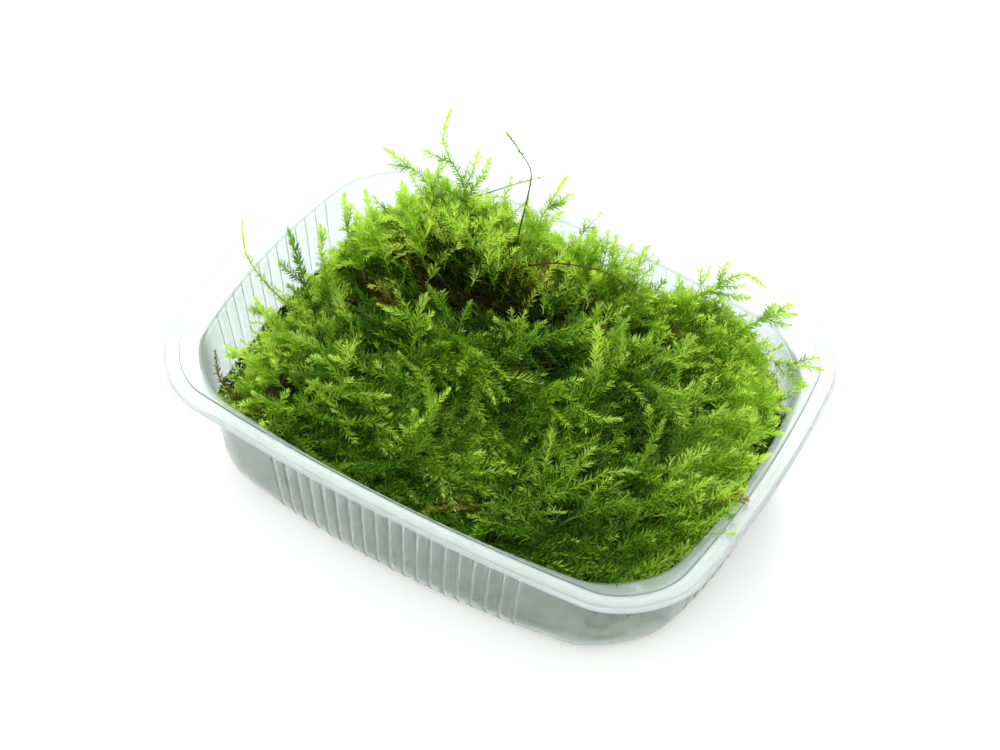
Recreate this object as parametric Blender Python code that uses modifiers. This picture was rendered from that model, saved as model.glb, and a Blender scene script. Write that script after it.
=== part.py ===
"""Loose aquatic moss in a shallow plastic tub, in metres, +Z up.

The origin is the middle of the tub's flat underside and +X runs along its long side. The tub is one thin
moulding. The moss is a tangled mat that fills it, and the shoots that stand clear of the mat.
"""

import math

import bmesh
import bpy
from mathutils import Vector

COLLECTION = "moss_tub"

# Tub: a section is (length, width, corner radius, bow of each side), all on the inside or top face.
WALL = 0.0006
TUB_HEIGHT = 0.0328
RIM = (0.139, 0.101, 0.0162, 0.0039)
LEDGE = (0.1266, 0.0904, 0.0129, 0.0054)
FLOOR = (0.1234, 0.0899, 0.0130, 0.0063)
LEDGE_HEIGHT = 0.0305
BAND_INSET = 0.0044
BAND_HEIGHT = 0.0322
FLANGE_INSET = 0.0038
LIP_ROUND = 0.0003
LIP_DROP = 0.0007
FLOOR_ROUND = 0.0064
FLOOR_ROUND_STEPS = 3
CREASE_ANGLE = math.radians(30)
CORNER_STEPS = 8
SIDE_STEPS = 6
BOW_POWER = 6

# Moss mat: it follows the tub's wall all round, with a column for each point of the tub's outline.
MAT_GAP = 0.0006
MAT_COLUMNS = 4 * (CORNER_STEPS + SIDE_STEPS)
MAT_ROWS = 22
MAT_TOP_ROWS = 12
MAT_SIDE_ROWS = 17
MAT_LEVEL = 0.0307
MAT_LUMP = 0.0008
MAT_LUMP_PITCH = 0.0045

# Crests and hollows of the mat's top: (x, y, reach along x, reach along y, height), in millimetres.
CRESTS = (
    (-28.0, 20.0, 24.0, 15.0, 6.5),
    (12.0, 8.0, 30.0, 18.0, 2.0),
    (44.0, 2.0, 16.0, 18.0, 1.5),
    (-58.0, -20.0, 16.0, 24.0, -17.0),
    (-62.0, 26.0, 9.0, 20.0, -6.0),
    (62.0, 38.0, 12.0, 16.0, -18.0),
    (10.0, 46.0, 46.0, 9.0, -5.0),
    (0.0, -46.0, 70.0, 9.0, -4.0),
)

# Shoots: the thickness of a leafy shoot, of a bare stem, and how much is left of it at the tip.
LEAFY_RADIUS = 0.0011
STEM_RADIUS = 0.0005
TIP_SHARE = 0.35
SPAN_STEPS = 3

# Each shoot's route from its root to its tip, in millimetres.
LEAFY_SHOOTS = {
    "shoot_tall": ((-27, 30, 39), (-31, 33.5, 43), (-36, 35, 48), (-38.5, 38, 51), (-39, 42, 54)),
    "shoot_back_left": ((-36, 28, 39), (-39, 30.5, 41), (-44.5, 30.5, 43.5), (-50, 30, 46)),
    "shoot_back_mid": ((-10.5, 32, 35.5), (-11, 36, 37.5), (-11, 41, 40), (-10.5, 47, 43)),
    "shoot_left_a": ((-41.5, 5, 38.5), (-45.5, 7.5, 42), (-49.5, 12.5, 46)),
    "shoot_left_b": ((-36, 7.5, 40), (-40.5, 10.5, 43), (-45.5, 15.5, 46.5)),
    "shoot_left_c": ((-30, 13.5, 41), (-34.5, 17, 44), (-39.5, 21.5, 47.5)),
    "shoot_left_d": ((-44.5, -3, 35.5), (-47, -0.5, 39.5), (-50.5, 4, 42.5)),
    "shoot_dark": ((-42, -12, 35.5), (-46, -9, 39.5), (-52, -4, 42), (-55, -2, 44)),
    "shoot_back_a": ((3.5, 32, 35), (2.5, 35, 36.5), (1.5, 39.5, 39)),
    "shoot_back_b": ((9.5, 31.5, 35), (9, 35, 37), (7.5, 39, 40)),
    "shoot_curled": ((30, 34, 33), (32, 40.5, 35), (37, 46.5, 37), (42.5, 46, 36.5)),
    "shoot_far_right": ((42.5, 34.5, 32.5), (46.5, 40, 34), (52, 43.5, 35.5)),
    "shoot_reaching": ((43.5, 26, 33.5), (54, 28.5, 35), (64, 31.5, 35.5)),
    "shoot_right_a": ((51, 15.5, 33), (57, 17.5, 33.2), (63, 19, 33.4)),
    "shoot_right_b": ((53, 8, 33.6), (58.5, 10, 33.6), (64, 12, 33.5)),
    "shoot_near_right": ((56.5, -3, 33.5), (61, -0.5, 33.8), (64.5, 5, 34)),
    "shoot_left_low": ((-42.5, -21, 32.5), (-48.5, -19.5, 33.5), (-54, -17, 35)),
    "shoot_left_tip": ((-41.5, -30.5, 30.5), (-47.5, -30, 31), (-53.5, -29, 31)),
}
BARE_STEMS = {
    "stem_pale": (
        (-33.5, 25.5, 39),
        (-31, 29, 38.5),
        (-25.5, 36.5, 38.8),
        (-20, 43.5, 39.5),
        (-16, 47, 40.5),
    ),
    "stem_thin": ((-14, 32, 37), (-15.5, 38, 42), (-17.5, 42.5, 45), (-22, 45, 47), (-27, 47, 49)),
    "stem_yellow": (
        (-39, -16, 36),
        (-48.5, -15.5, 38),
        (-58.5, -12, 40),
        (-63, -8.5, 42),
        (-66.5, -4, 43),
    ),
    "stem_arched": ((-2, 27, 36.5), (5.5, 29, 37.5), (12, 29.5, 38), (19, 29.5, 35)),
    "stem_brown": ((-42, -37.5, 27.5), (-47.5, -36, 25), (-54, -32.5, 23), (-59, -27.5, 24.5)),
}


def mm(values):
    return [value / 1000 for value in values]


def material(name, colour, roughness, alpha=1.0):
    """A Principled material with the part's own colour and finish."""
    made = bpy.data.materials.new(name)
    made.use_nodes = True
    shader = made.node_tree.nodes["Principled BSDF"]
    shader.inputs["Base Color"].default_value = (*colour, 1.0)
    shader.inputs["Roughness"].default_value = roughness
    shader.inputs["Metallic"].default_value = 0.0
    shader.inputs["Alpha"].default_value = alpha
    return made


def outline(section, inset=0.0):
    """Points round a rounded rectangle with bowed sides, anticlockwise from +X."""
    length, width, corner, bow = section
    half_x = length / 2 - bow
    half_y = width / 2 - bow
    points = []
    for quarter, (sx, sy) in enumerate(((1, 1), (-1, 1), (-1, -1), (1, -1))):
        centre = (sx * (half_x - corner), sy * (half_y - corner))
        for step in range(CORNER_STEPS + 1):
            angle = math.pi / 2 * (quarter + step / CORNER_STEPS)
            points.append(
                (
                    centre[0] + (corner - inset) * math.cos(angle),
                    centre[1] + (corner - inset) * math.sin(angle),
                )
            )
        end = points[-1]
        following = ((-1, 1), (-1, -1), (1, -1), (1, 1))[quarter]
        turn = math.pi / 2 * (quarter + 1)
        start = (
            following[0] * (half_x - corner) + (corner - inset) * math.cos(turn),
            following[1] * (half_y - corner) + (corner - inset) * math.sin(turn),
        )
        for step in range(1, SIDE_STEPS):
            share = step / SIDE_STEPS
            points.append((end[0] + (start[0] - end[0]) * share, end[1] + (start[1] - end[1]) * share))
    return [bowed(x, y, half_x - inset, half_y - inset, bow) for x, y in points]


def bowed(x, y, half_x, half_y, bow):
    """The point pushed out by the bow of the side that it lies on."""
    out_x = bow * abs(x / half_x) ** BOW_POWER * max(0.0, 1 - (y / half_y) ** 2)
    out_y = bow * abs(y / half_y) ** BOW_POWER * max(0.0, 1 - (x / half_x) ** 2)
    return (x + math.copysign(out_x, x), y + math.copysign(out_y, y))


def tub_rings():
    """The inside and top face from the floor out to the lip: (section, inset, height)."""
    floor_round = []
    for step in range(FLOOR_ROUND_STEPS + 1):
        turn = math.pi / 2 * step / FLOOR_ROUND_STEPS
        inset = FLOOR_ROUND * (1 - math.sin(turn))
        floor_round.append((FLOOR, inset, WALL + FLOOR_ROUND * (1 - math.cos(turn))))
    return (
        *floor_round,
        (LEDGE, 0.0, LEDGE_HEIGHT),
        (RIM, BAND_INSET, BAND_HEIGHT),
        (RIM, FLANGE_INSET, TUB_HEIGHT),
        (RIM, LIP_ROUND, TUB_HEIGHT),
        (RIM, 0.0, TUB_HEIGHT - LIP_ROUND),
        (RIM, 0.0, TUB_HEIGHT - LIP_DROP),
    )


def make_tub(collection):
    """One open skin lofted through the rings, with its wall added outside and below by Solidify."""
    mesh = bpy.data.meshes.new("tub")
    shape = bmesh.new()
    loops = []
    for section, inset, height in tub_rings():
        ring = [shape.verts.new((x, y, height)) for x, y in outline(section, inset)]
        loops.append([shape.edges.new((ring[i - 1], ring[i])) for i in range(len(ring))])
        if len(loops) == 1:
            shape.faces.new(ring)
        else:
            bmesh.ops.bridge_loops(shape, edges=loops[-2] + loops[-1])
    bmesh.ops.recalc_face_normals(shape, faces=shape.faces[:])
    shape.faces.ensure_lookup_table()
    if shape.faces[0].normal.z < 0:
        bmesh.ops.reverse_faces(shape, faces=shape.faces[:])
    shape.to_mesh(mesh)
    shape.free()
    mesh.shade_smooth()
    mesh.set_sharp_from_angle(angle=CREASE_ANGLE)
    tub = bpy.data.objects.new("tub", mesh)
    collection.objects.link(tub)
    tub.data.materials.append(material("milky_plastic", (0.86, 0.88, 0.88), 0.35, 0.55))
    wall = tub.modifiers.new("wall", "SOLIDIFY")
    wall.thickness = WALL
    wall.offset = -1
    wall.use_even_offset = True
    return tub


def mat_height(x, y):
    """Height of the mat's top over a point, with its crests and hollows and a small lumpiness."""
    height = MAT_LEVEL
    for cx, cy, reach_x, reach_y, rise in CRESTS:
        away = ((x * 1000 - cx) / reach_x) ** 2 + ((y * 1000 - cy) / reach_y) ** 2
        height += rise / 1000 * math.exp(-away)
    lump = math.sin(x / MAT_LUMP_PITCH + math.sin(y / MAT_LUMP_PITCH)) * math.sin(y / MAT_LUMP_PITCH)
    return height + MAT_LUMP * lump


def mat_edge(column, height):
    """The mat's outermost point in a column, a small gap inside the tub's wall at that height."""
    upright = WALL + FLOOR_ROUND
    share = min(1.0, max(0.0, (height - upright) / (LEDGE_HEIGHT - upright)))
    section = [low + (high - low) * share for low, high in zip(FLOOR, LEDGE)]
    below = max(0.0, upright - height)
    inset = MAT_GAP + FLOOR_ROUND - math.sqrt(FLOOR_ROUND**2 - below**2)
    return outline(section, inset)[(column - SIDE_STEPS // 2) % MAT_COLUMNS]


def mat_point(column, row):
    """A sphere point's place on the mat: rows run from the top's middle, over the edge, to the foot."""
    foot = WALL + MAT_GAP
    edge_height = mat_height(*mat_edge(column, MAT_LEVEL))
    if row <= MAT_TOP_ROWS:
        x, y = (value * row / MAT_TOP_ROWS for value in mat_edge(column, edge_height))
        return x, y, mat_height(x, y)
    if row <= MAT_SIDE_ROWS:
        left = (MAT_SIDE_ROWS - row) / (MAT_SIDE_ROWS - MAT_TOP_ROWS)
        height = foot + (edge_height - foot) * left**2
        return (*mat_edge(column, height), height)
    x, y = (value * (MAT_ROWS - row) / (MAT_ROWS - MAT_SIDE_ROWS) for value in mat_edge(column, foot))
    return x, y, foot


def make_mat(collection, colour):
    """A sphere drawn out into the lumpy, flat-footed mass that fills the tub."""
    mesh = bpy.data.meshes.new("moss_mat")
    shape = bmesh.new()
    bmesh.ops.create_uvsphere(shape, u_segments=MAT_COLUMNS, v_segments=MAT_ROWS, radius=1.0)
    for vertex in shape.verts:
        x, y, z = vertex.co
        row = round(MAT_ROWS * math.acos(max(-1.0, min(1.0, z))) / math.pi)
        vertex.co = mat_point(round(MAT_COLUMNS * math.atan2(y, x) / math.tau), row)
    bmesh.ops.recalc_face_normals(shape, faces=shape.faces[:])
    shape.to_mesh(mesh)
    shape.free()
    mesh.shade_smooth()
    mat = bpy.data.objects.new("moss_mat", mesh)
    collection.objects.link(mat)
    mat.data.materials.append(colour)
    return mat


def smooth_route(points):
    """The route as a smooth curve through its own points, with a few steps to each span."""
    ends = [2 * points[0] - points[1], *points, 2 * points[-1] - points[-2]]
    route = []
    for before, start, end, after in zip(ends, ends[1:], ends[2:], ends[3:]):
        for step in range(SPAN_STEPS):
            t = step / SPAN_STEPS
            route.append(
                0.5
                * (
                    2 * start
                    + (end - before) * t
                    + (2 * before - 5 * start + 4 * end - after) * t**2
                    + (3 * start - before - 3 * end + after) * t**3
                )
            )
    return [*route, points[-1]]


def make_shoot(collection, name, points, radius, colour):
    """A round stem that thins from its root to its tip."""
    route = smooth_route([Vector(mm(point)) for point in points])
    curve = bpy.data.curves.new(name, "CURVE")
    curve.dimensions = "3D"
    curve.bevel_depth = radius
    curve.bevel_resolution = 1
    curve.use_fill_caps = True
    spline = curve.splines.new("POLY")
    spline.points.add(len(route) - 1)
    for index, place in enumerate(route):
        spline.points[index].co = (*place, 1.0)
        spline.points[index].radius = 1 + (TIP_SHARE - 1) * index / (len(route) - 1)
    spline.use_smooth = True
    shoot = bpy.data.objects.new(name, curve)
    collection.objects.link(shoot)
    shoot.data.materials.append(colour)
    return shoot


def main():
    for leftover in list(bpy.data.objects):
        bpy.data.objects.remove(leftover, do_unlink=True)
    collection = bpy.data.collections.new(COLLECTION)
    bpy.context.scene.collection.children.link(collection)
    leaf_green = material("moss_green", (0.10, 0.27, 0.03), 0.6)
    stem_brown = material("stem_olive", (0.30, 0.28, 0.06), 0.6)
    make_tub(collection)
    make_mat(collection, leaf_green)
    for name, points in LEAFY_SHOOTS.items():
        make_shoot(collection, name, points, LEAFY_RADIUS, leaf_green)
    for name, points in BARE_STEMS.items():
        make_shoot(collection, name, points, STEM_RADIUS, stem_brown)


main()
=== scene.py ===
"""Loose aquatic moss heaped in a shallow, milky plastic tub: the looks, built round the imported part.

Everything is in metres with +Z up, in the part's own frame: the origin is the middle of the tub's
underside and +X runs along its long side. The moss is many leafy shoots. Each one is a thin stem that
carries folded leaves, and the shoots are joined into a few meshes, one for each stretch of the heap.
"""

import math
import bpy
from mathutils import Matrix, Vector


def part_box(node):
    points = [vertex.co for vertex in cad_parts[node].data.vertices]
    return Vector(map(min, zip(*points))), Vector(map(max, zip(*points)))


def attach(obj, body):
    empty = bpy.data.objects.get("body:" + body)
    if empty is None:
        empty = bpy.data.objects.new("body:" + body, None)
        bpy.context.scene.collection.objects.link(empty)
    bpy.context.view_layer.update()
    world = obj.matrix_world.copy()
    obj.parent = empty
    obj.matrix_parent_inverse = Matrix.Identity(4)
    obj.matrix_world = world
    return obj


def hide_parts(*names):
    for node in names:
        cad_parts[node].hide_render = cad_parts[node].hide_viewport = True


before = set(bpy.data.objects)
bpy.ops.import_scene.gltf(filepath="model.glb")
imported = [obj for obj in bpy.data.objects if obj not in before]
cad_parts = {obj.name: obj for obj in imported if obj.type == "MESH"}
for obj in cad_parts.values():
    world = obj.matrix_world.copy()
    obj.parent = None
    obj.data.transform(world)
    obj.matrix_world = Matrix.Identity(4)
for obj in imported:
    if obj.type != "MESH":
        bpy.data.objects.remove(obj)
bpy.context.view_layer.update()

from types import SimpleNamespace

import bmesh
import bpy
import numpy as np
from bpy.props import FloatProperty, FloatVectorProperty, IntProperty, PointerProperty
from mathutils import Matrix, Vector
from mathutils.bvhtree import BVHTree

bl_info = {
    "name": "Moss Tub",
    "version": (1, 0, 0),
    "blender": (4, 5, 0),
    "location": "View3D > Sidebar > Moss Tub",
    "description": "Builds loose aquatic moss heaped in a shallow plastic tub",
    "category": "Object",
}

MM = 0.001

# The tub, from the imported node's own box. A section is (length, width, corner radius, bow of each side).
TUB_LOW, TUB_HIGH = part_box("tub")
TUB_LENGTH = TUB_HIGH.x - TUB_LOW.x
TUB_WIDTH = TUB_HIGH.y - TUB_LOW.y
RIM_TOP = TUB_HIGH.z
RIM = (TUB_LENGTH, TUB_WIDTH, 0.0162, 0.0039)
LEDGE = (TUB_LENGTH - 0.0124, TUB_WIDTH - 0.0106, 0.0129, 0.0054)
FLOOR = (TUB_LENGTH - 0.0156, TUB_WIDTH - 0.0111, 0.0130, 0.0063)
LEDGE_HEIGHT = RIM_TOP - 0.0023
FLOOR_ROUND = 0.0064
BOW_POWER = 6
CORNER_STEPS = 14
SIDE_STEP = 0.0003
WALL = 0.0006

# How far under the rim's top the wall stops holding the moss in.
RIM_DROP = 0.0012

# How far leaves and stems stay from the wall, and how much more right in its corners.
LEAF_GAP = 0.0002
STEM_GAP = 0.0012
CORNER_GAP = 0.0014

# Where the heap grows, one row for each patch of it:
# (x, y, reach) in mm, (heading, lift) of its shoots in degrees, loft over the mat in mm, tone, warmth.
# Tone is higher at the back and left, partly for younger growth and partly as painted backlight.
PATCHES = (
    (-40, 17, 13, 165, 28, 5.0, 1.25, 0.30),
    (-30, 30, 12, 130, 50, 6.0, 1.48, 0.28),
    (-12, 34, 12, 105, 40, 4.5, 1.48, 0.30),
    (6, 36, 12, 95, 25, 3.0, 1.30, 0.26),
    (29, 34, 14, 50, 18, 3.0, 1.00, 0.24),
    (48, 28, 12, 35, 12, 2.5, 1.00, 0.22),
    (58, 6, 12, 40, 12, 2.5, 0.97, 0.20),
    (60, -10, 12, 75, 20, 2.0, 0.93, 0.16),
    (55, -30, 12, 50, 12, 1.5, 0.68, 0.10),
    (36, -34, 14, 40, 10, 1.6, 0.59, 0.10),
    (18, -36, 14, -160, 10, 1.6, 0.57, 0.08),
    (-10, -32, 16, 30, 10, 1.6, 0.59, 0.10),
    (0, -12, 14, -35, 15, 2.5, 0.63, 0.06),
    (26, -2, 16, 70, 15, 2.2, 0.59, 0.08),
    (24, 18, 14, 20, 14, 2.4, 0.61, 0.14),
    (-28, -14, 13, 160, 22, 3.0, 0.68, 0.20),
    (-44, -8, 11, 155, 25, 4.0, 0.89, 0.34),
    (-42, -26, 10, 165, 15, 1.5, 0.77, 0.45),
    (-20, 8, 14, 170, 25, 2.5, 0.55, 0.30),
)

# Where the top of the heap stops, going round it from the left: (x, y) in mm.
HEAP_EDGE = (
    (-47, -41),
    (-47.5, -33),
    (-49, -25),
    (-51, -13),
    (-50, -3),
    (-48, 10),
    (-42, 22),
    (-33, 31),
    (-23, 35.5),
    (-8, 37),
    (4, 36),
    (15, 35.5),
    (24, 37.5),
    (34, 38),
    (44, 36),
    (52, 32),
    (56, 26),
    (54, 15),
    (59, 6),
    (64, -8),
    (65, -24),
    (62, -38),
    (50, -46),
    (0, -48),
    (-40, -46),
)

# Dips where the old brown stems show, lengths in mm:
# (x, y, reach along x, reach along y, depth, brownness). Brownness also darkens the shoots there as
# painted shade.
DIPS = (
    (-30, 4, 10, 6, 4.0, 0.9),
    (-20, 11, 13, 7, 5.5, 0.9),
    (-5, 17, 14, 8, 7.0, 1.0),
    (12, 24, 14, 6, 6.0, 0.8),
    (12, 3, 6, 8, 5.5, 0.9),
    (43, 10, 8, 6, 3.5, 0.6),
    (34, -7, 8, 5, 4.0, 0.5),
    (-34, -28, 8, 7, 2.0, 0.9),
    (-24, -12, 9, 5, 3.0, 0.5),
)

# Long shoots that sweep over the heap: (x, y) along each one in mm.
SWEEPS = (
    ((-18, -46), (-9, -42), (0, -36), (-2, -24), (-10, -15), (-20, -10)),
    ((-33, -47), (-31, -40), (-27, -35), (-21, -28), (-14, -23)),
    ((-19, -2), (-10, -7), (4, -11)),
    ((-14, -1), (-4, -5), (7, -13)),
    ((2, -37), (12, -33), (20, -26)),
    ((6, -7), (13, -6), (19, -5), (27, -6), (32, -2)),
    ((3, -1), (6, 7), (12, 15), (18, 14)),
    ((-27, -23), (-24, -16), (-14, -11), (-5, -12)),
    ((16, -38), (24, -35), (32, -28), (37, -19), (43, -12)),
    ((35, -33), (44, -23), (54, -15), (57, -7)),
    ((47, -37), (52, -28), (59, -19)),
    ((5, 33), (13, 27), (24, 26), (33, 23)),
    ((-30, -35), (-21, -36), (-11, -31), (-5, -32)),
    ((40, 2), (43, 10), (49, 16), (54, 16)),
)

# Scraps on the inside of the near wall: (x, height, length) in mm and lean in degrees.
SCRAPS = (
    (-31, 17, 6, -25),
    (-30, 14, 5, 10),
    (-38, 19, 2.5, 60),
    (-12, 25, 2.5, 30),
    (-11, 14, 3.5, -15),
    (-8, 12, 3, 40),
    (-2, 16, 5, -20),
    (1, 12, 4, 15),
    (-15, 6, 5, -5),
    (-9, 5, 5, 10),
    (24, 17, 4, 20),
    (27, 14, 3, -30),
    (45, 17, 3, 30),
)

# Where a scrap starts across the tub in mm, before it is pushed back inside the wall.
PAST_NEAR_WALL = -60.0

# Shoots that stand clear of the heap, from root to tip in mm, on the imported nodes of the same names.
LEAFY_SHOOTS = {
    "shoot_tall": ((-27, 30, 39), (-31, 33.5, 43), (-36, 35, 48), (-38.5, 38, 51), (-39, 42, 54)),
    "shoot_back_left": ((-36, 28, 39), (-39, 30.5, 41), (-44.5, 30.5, 43.5), (-50, 30, 46)),
    "shoot_back_mid": ((-10.5, 32, 35.5), (-11, 36, 37.5), (-11, 41, 40), (-10.5, 47, 43)),
    "shoot_left_a": ((-41.5, 5, 38.5), (-45.5, 7.5, 42), (-49.5, 12.5, 46)),
    "shoot_left_b": ((-36, 7.5, 40), (-40.5, 10.5, 43), (-45.5, 15.5, 46.5)),
    "shoot_left_c": ((-30, 13.5, 41), (-34.5, 17, 44), (-39.5, 21.5, 47.5)),
    "shoot_left_d": ((-44.5, -3, 35.5), (-47, -0.5, 39.5), (-50.5, 4, 42.5)),
    "shoot_dark": ((-42, -12, 35.5), (-46, -9, 39.5), (-52, -4, 42), (-55, -2, 44)),
    "shoot_back_a": ((3.5, 32, 35), (2.5, 35, 36.5), (1.5, 39.5, 39)),
    "shoot_back_b": ((9.5, 31.5, 35), (9, 35, 37), (7.5, 39, 40)),
    "shoot_curled": ((30, 34, 33), (32, 40.5, 35), (37, 46.5, 37), (42.5, 46, 36.5)),
    "shoot_far_right": ((42.5, 34.5, 32.5), (46.5, 40, 34), (52, 43.5, 35.5)),
    "shoot_reaching": ((43.5, 26, 33.5), (54, 28.5, 35), (64, 31.5, 35.5)),
    "shoot_right_a": ((51, 15.5, 33), (57, 17.5, 33.2), (63, 19, 33.4)),
    "shoot_right_b": ((53, 8, 33.6), (58.5, 10, 33.6), (64, 12, 33.5)),
    "shoot_near_right": ((56.5, -3, 33.5), (61, -0.5, 33.8), (64.5, 5, 34)),
    "shoot_left_low": ((-42.5, -21, 32.5), (-48.5, -19.5, 33.5), (-54, -17, 35)),
    "shoot_left_tip": ((-41.5, -30.5, 30.5), (-47.5, -30, 31), (-53.5, -29, 31)),
}

# Nearly bare stems, in the same way, each with its (tone, warmth, bare share).
BARE_STEMS = {
    "stem_pale": (
        ((-33.5, 25.5, 39), (-31, 29, 38.5), (-25.5, 36.5, 38.8), (-20, 43.5, 39.5), (-16, 47, 40.5)),
        (0.86, 0.55, 0.8),
    ),
    "stem_thin": (
        ((-14, 32, 37), (-15.5, 38, 42), (-17.5, 42.5, 45), (-22, 45, 47), (-27, 47, 49)),
        (0.62, 0.35, 0.75),
    ),
    "stem_yellow": (
        ((-39, -16, 36), (-48.5, -15.5, 38), (-58.5, -12, 40), (-63, -8.5, 42), (-66.5, -4, 43)),
        (0.95, 0.48, 0.1),
    ),
    "stem_arched": (
        ((-2, 27, 36.5), (5.5, 29, 37.5), (12, 29.5, 38), (19, 29.5, 35)),
        (0.6, 0.85, 0.98),
    ),
    "stem_brown": (
        ((-42, -37.5, 27.5), (-47.5, -36, 25), (-54, -32.5, 23), (-59, -27.5, 24.5)),
        (0.62, 0.8, 0.3),
    ),
}


# ---------------------------------------------------------------- settings


class TubSettings(bpy.types.PropertyGroup):
    wall: FloatProperty(
        name="Wall", description="Thickness of the plastic", default=WALL, unit="LENGTH"
    )
    rib_pitch: FloatProperty(
        name="Rib Pitch", description="Distance from rib to rib", default=0.0036, unit="LENGTH"
    )
    rib_depth: FloatProperty(
        name="Rib Depth", description="How far a rib stands out", default=0.00024, unit="LENGTH"
    )
    rib_reach: FloatProperty(
        name="Rib Reach", description="From a rib's middle to its edge", default=0.00048, unit="LENGTH"
    )
    long_ribs: IntProperty(name="Long Ribs", description="Ribs on each long side", default=19)
    short_ribs: IntProperty(name="Short Ribs", description="Ribs on each short side", default=13)
    colour: FloatVectorProperty(
        name="Plastic",
        description="Colour of the milky plastic",
        default=(0.80, 0.885, 0.85),
        subtype="COLOR",
    )


class MossSettings(bpy.types.PropertyGroup):
    seed: IntProperty(name="Seed", description="Which heap of moss is grown", default=11)
    young_shoots: IntProperty(
        name="Young Shoots", description="Young shoots round the heap's edge", default=230
    )
    tall_shoots: IntProperty(
        name="Tall Shoots", description="Young shoots that stand up at the far edge", default=44
    )
    wall_shoots: IntProperty(
        name="Wall Shoots", description="Shoots that lie along the wall", default=900
    )
    beds: IntProperty(name="Beds", description="Meshes that the heap is split into", default=5)
    leaf_length: FloatProperty(
        name="Leaf Length", description="Length of a leaf", default=0.0019, unit="LENGTH"
    )
    leaf_width: FloatProperty(
        name="Leaf Width", description="Width of a leaf", default=0.00046, unit="LENGTH"
    )
    leaf_spacing: FloatProperty(
        name="Leaf Spacing", description="Distance from leaf to leaf", default=0.00025, unit="LENGTH"
    )
    stem_radius: FloatProperty(
        name="Stem Radius", description="Radius of a stem at its root", default=0.0002, unit="LENGTH"
    )


class StageSettings(bpy.types.PropertyGroup):
    azimuth: FloatProperty(
        name="Azimuth", description="Way round the tub", default=math.radians(31.42), subtype="ANGLE"
    )
    elevation: FloatProperty(
        name="Elevation", description="Way up", default=math.radians(49.67), subtype="ANGLE"
    )
    roll: FloatProperty(
        name="Roll", description="Turn about the line of sight", default=0.006, subtype="ANGLE"
    )
    distance: FloatProperty(
        name="Distance", description="From the camera to its aim", default=0.4617, unit="LENGTH"
    )
    lens: FloatProperty(name="Lens", description="Focal length in millimetres", default=75.33)
    floor_colour: FloatVectorProperty(
        name="Floor", description="Colour of the floor", default=(0.93, 0.93, 0.93), subtype="COLOR"
    )
    sky: FloatProperty(name="Sky", description="Strength of the even light all round", default=0.92)
    key: FloatProperty(
        name="Key", description="Power of the soft light behind", default=5.0, unit="POWER"
    )
    fill: FloatProperty(
        name="Fill", description="Power of the soft light in front", default=1.5, unit="POWER"
    )


# ---------------------------------------------------------------- helpers


def mm(values):
    return np.asarray(values, float) * MM


def unit(vectors):
    return vectors / np.maximum(np.linalg.norm(vectors, axis=-1, keepdims=True), 1e-9)


def place_piece(mesh, name, slot, *nodes):
    """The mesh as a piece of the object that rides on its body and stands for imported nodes."""
    piece = bpy.data.objects.new(name, mesh)
    bpy.context.scene.collection.objects.link(piece)
    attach(piece, "root")
    if nodes:
        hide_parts(*nodes)
    return piece


def outline(section, inset, long_steps, short_steps):
    """Points round a rounded rectangle with bowed sides, and how far along its side each point is."""
    length, width, corner, bow = section
    half_x = length / 2 - bow
    half_y = width / 2 - bow
    straight_x = half_x - corner
    straight_y = half_y - corner
    points = []
    along = []
    quarters = ((1, 1, short_steps), (-1, 1, long_steps), (-1, -1, short_steps), (1, -1, long_steps))
    for quarter, (sx, sy, _) in enumerate(quarters):
        for step in range(CORNER_STEPS + 1):
            angle = math.pi / 2 * (quarter + step / CORNER_STEPS)
            x = sx * straight_x + (corner - inset) * math.cos(angle)
            y = sy * straight_y + (corner - inset) * math.sin(angle)
            points.append((x, y))
            along.append(None)
        next_x, next_y, steps = quarters[(quarter + 1) % 4]
        turn = math.pi / 2 * (quarter + 1)
        end_x = next_x * straight_x + (corner - inset) * math.cos(turn)
        end_y = next_y * straight_y + (corner - inset) * math.sin(turn)
        start_x, start_y = points[-1]
        for step in range(1, steps):
            share = step / steps
            points.append((start_x + (end_x - start_x) * share, start_y + (end_y - start_y) * share))
            along.append((quarter % 2, 2 * share - 1))
    bowed = []
    for x, y in points:
        out_x = bow * abs(x / (half_x - inset)) ** BOW_POWER * max(0.0, 1 - (y / (half_y - inset)) ** 2)
        out_y = bow * abs(y / (half_y - inset)) ** BOW_POWER * max(0.0, 1 - (x / (half_x - inset)) ** 2)
        bowed.append((x + math.copysign(out_x, x), y + math.copysign(out_y, y)))
    return bowed, along


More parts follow.
